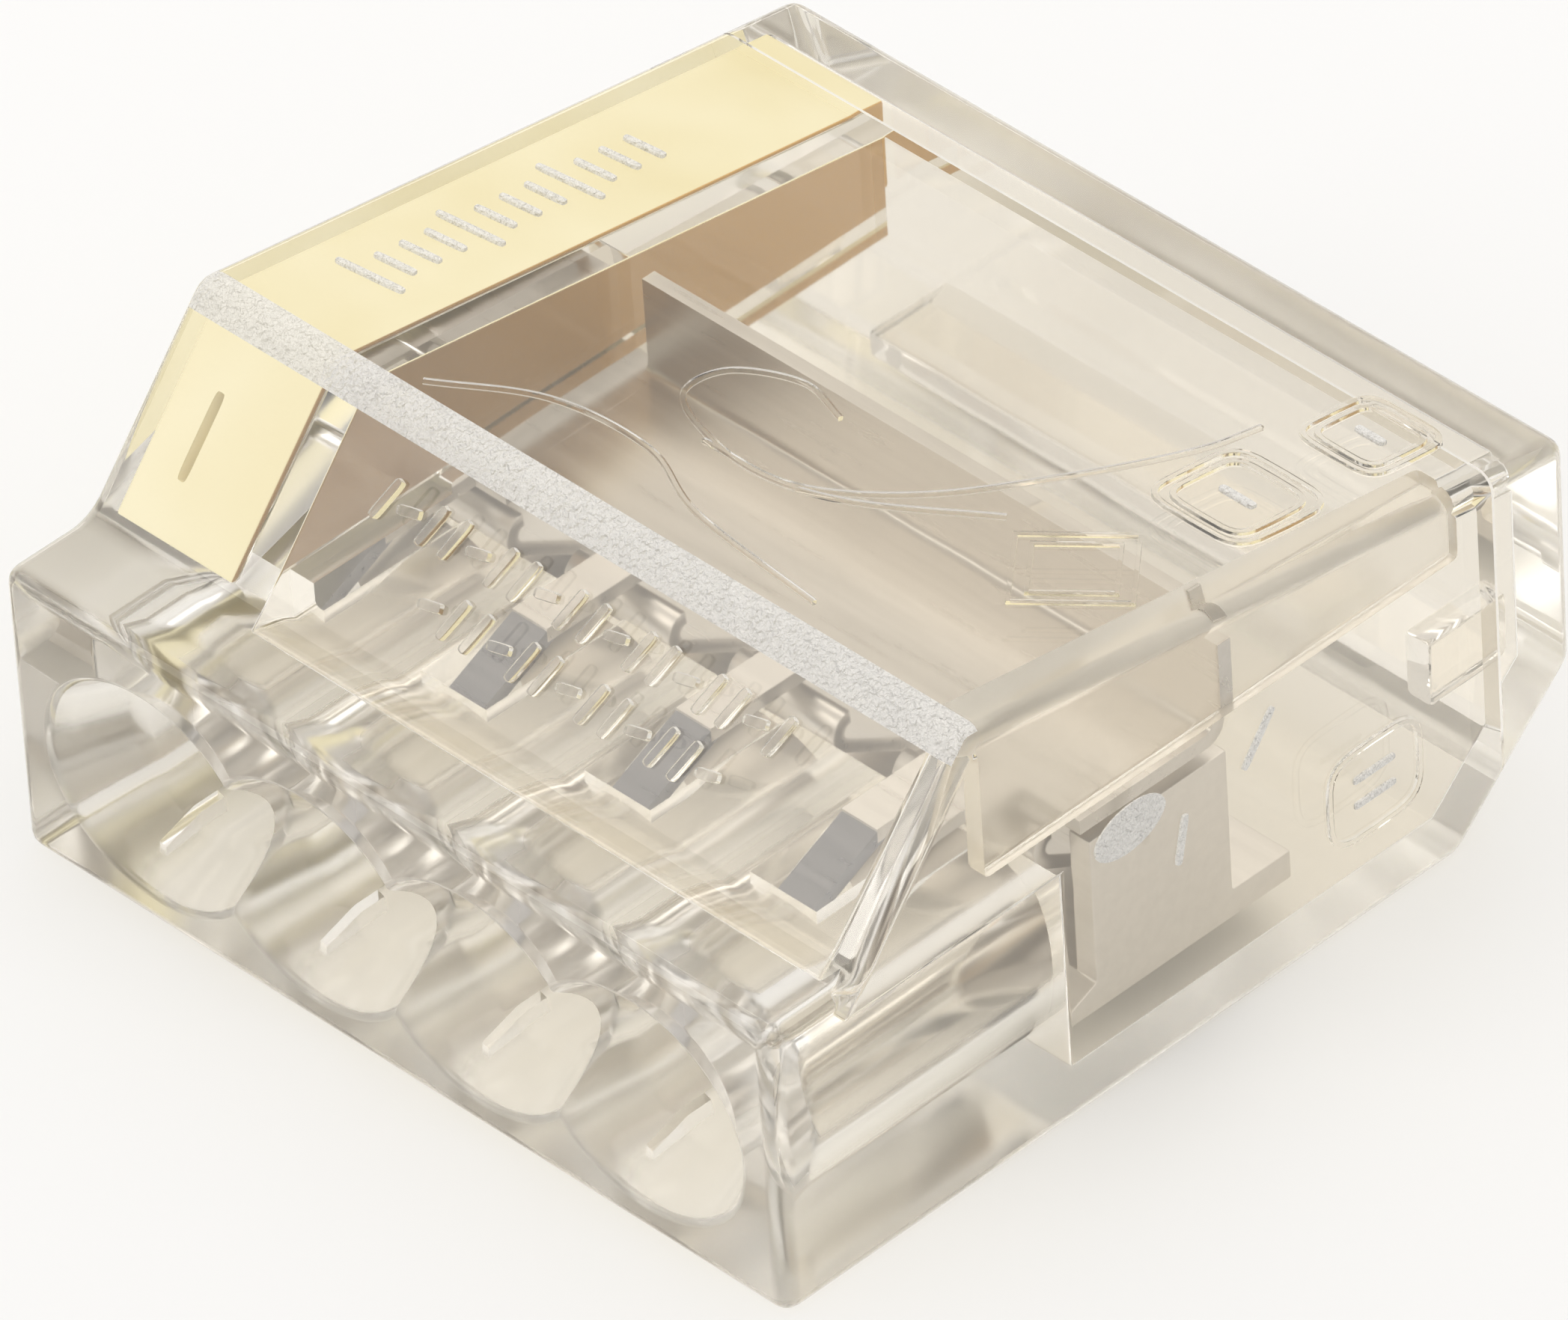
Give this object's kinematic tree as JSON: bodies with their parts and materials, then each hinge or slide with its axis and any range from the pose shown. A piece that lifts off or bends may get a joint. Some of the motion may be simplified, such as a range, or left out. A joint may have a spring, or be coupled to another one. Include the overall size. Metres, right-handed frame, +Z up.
{
  "type": "push-in wire connector",
  "caption": "Clear wedge-shaped push-in connector that joins stripped solid wires on a common busbar, with a spring tongue behind each port.",
  "frame": {"origin": "centre of the bounding box's bottom face, on the flat bottom of the housing", "axes": "+X across the row of ports, -Y out of the wire-entry face, +Y towards the rear cap, +Z up"},
  "size_m": [0.0188, 0.0194, 0.0096],
  "materials": {
    "clear_plastic": "clear moulded polycarbonate, faintly warm",
    "yellow_plastic": "semi-gloss moulded",
    "tinned_copper": "satin tin plate",
    "spring_steel": "bright rolled strip"
  },
  "bodies": {
    "root": {"housing": "clear_plastic", "rear_cap": "clear_plastic", "color_block": "yellow_plastic", "busbar": "tinned_copper", "spring_plate": "spring_steel"},
    "tongue_1": {"spring_tongue_1": "spring_steel"},
    "tongue_2": {"spring_tongue_2": "spring_steel"},
    "tongue_3": {"spring_tongue_3": "spring_steel"},
    "tongue_4": {"spring_tongue_4": "spring_steel"}
  },
  "joints": [
    {"name": "tongue_1_flex", "type": "hinge", "parent": "root", "child": "tongue_1", "pos_m": [-0.006, -0.00145, 0.00445], "axis": [1, 0, 0], "range_deg": [0, 30], "stiffness_Nm_per_rad": 0.02},
    {"name": "tongue_2_flex", "type": "hinge", "parent": "root", "child": "tongue_2", "pos_m": [-0.002, -0.00145, 0.00445], "axis": [1, 0, 0], "range_deg": [0, 30], "stiffness_Nm_per_rad": 0.02},
    {"name": "tongue_3_flex", "type": "hinge", "parent": "root", "child": "tongue_3", "pos_m": [0.002, -0.00145, 0.00445], "axis": [1, 0, 0], "range_deg": [0, 30], "stiffness_Nm_per_rad": 0.02},
    {"name": "tongue_4_flex", "type": "hinge", "parent": "root", "child": "tongue_4", "pos_m": [0.006, -0.00145, 0.00445], "axis": [1, 0, 0], "range_deg": [0, 30], "stiffness_Nm_per_rad": 0.02}
  ]
}
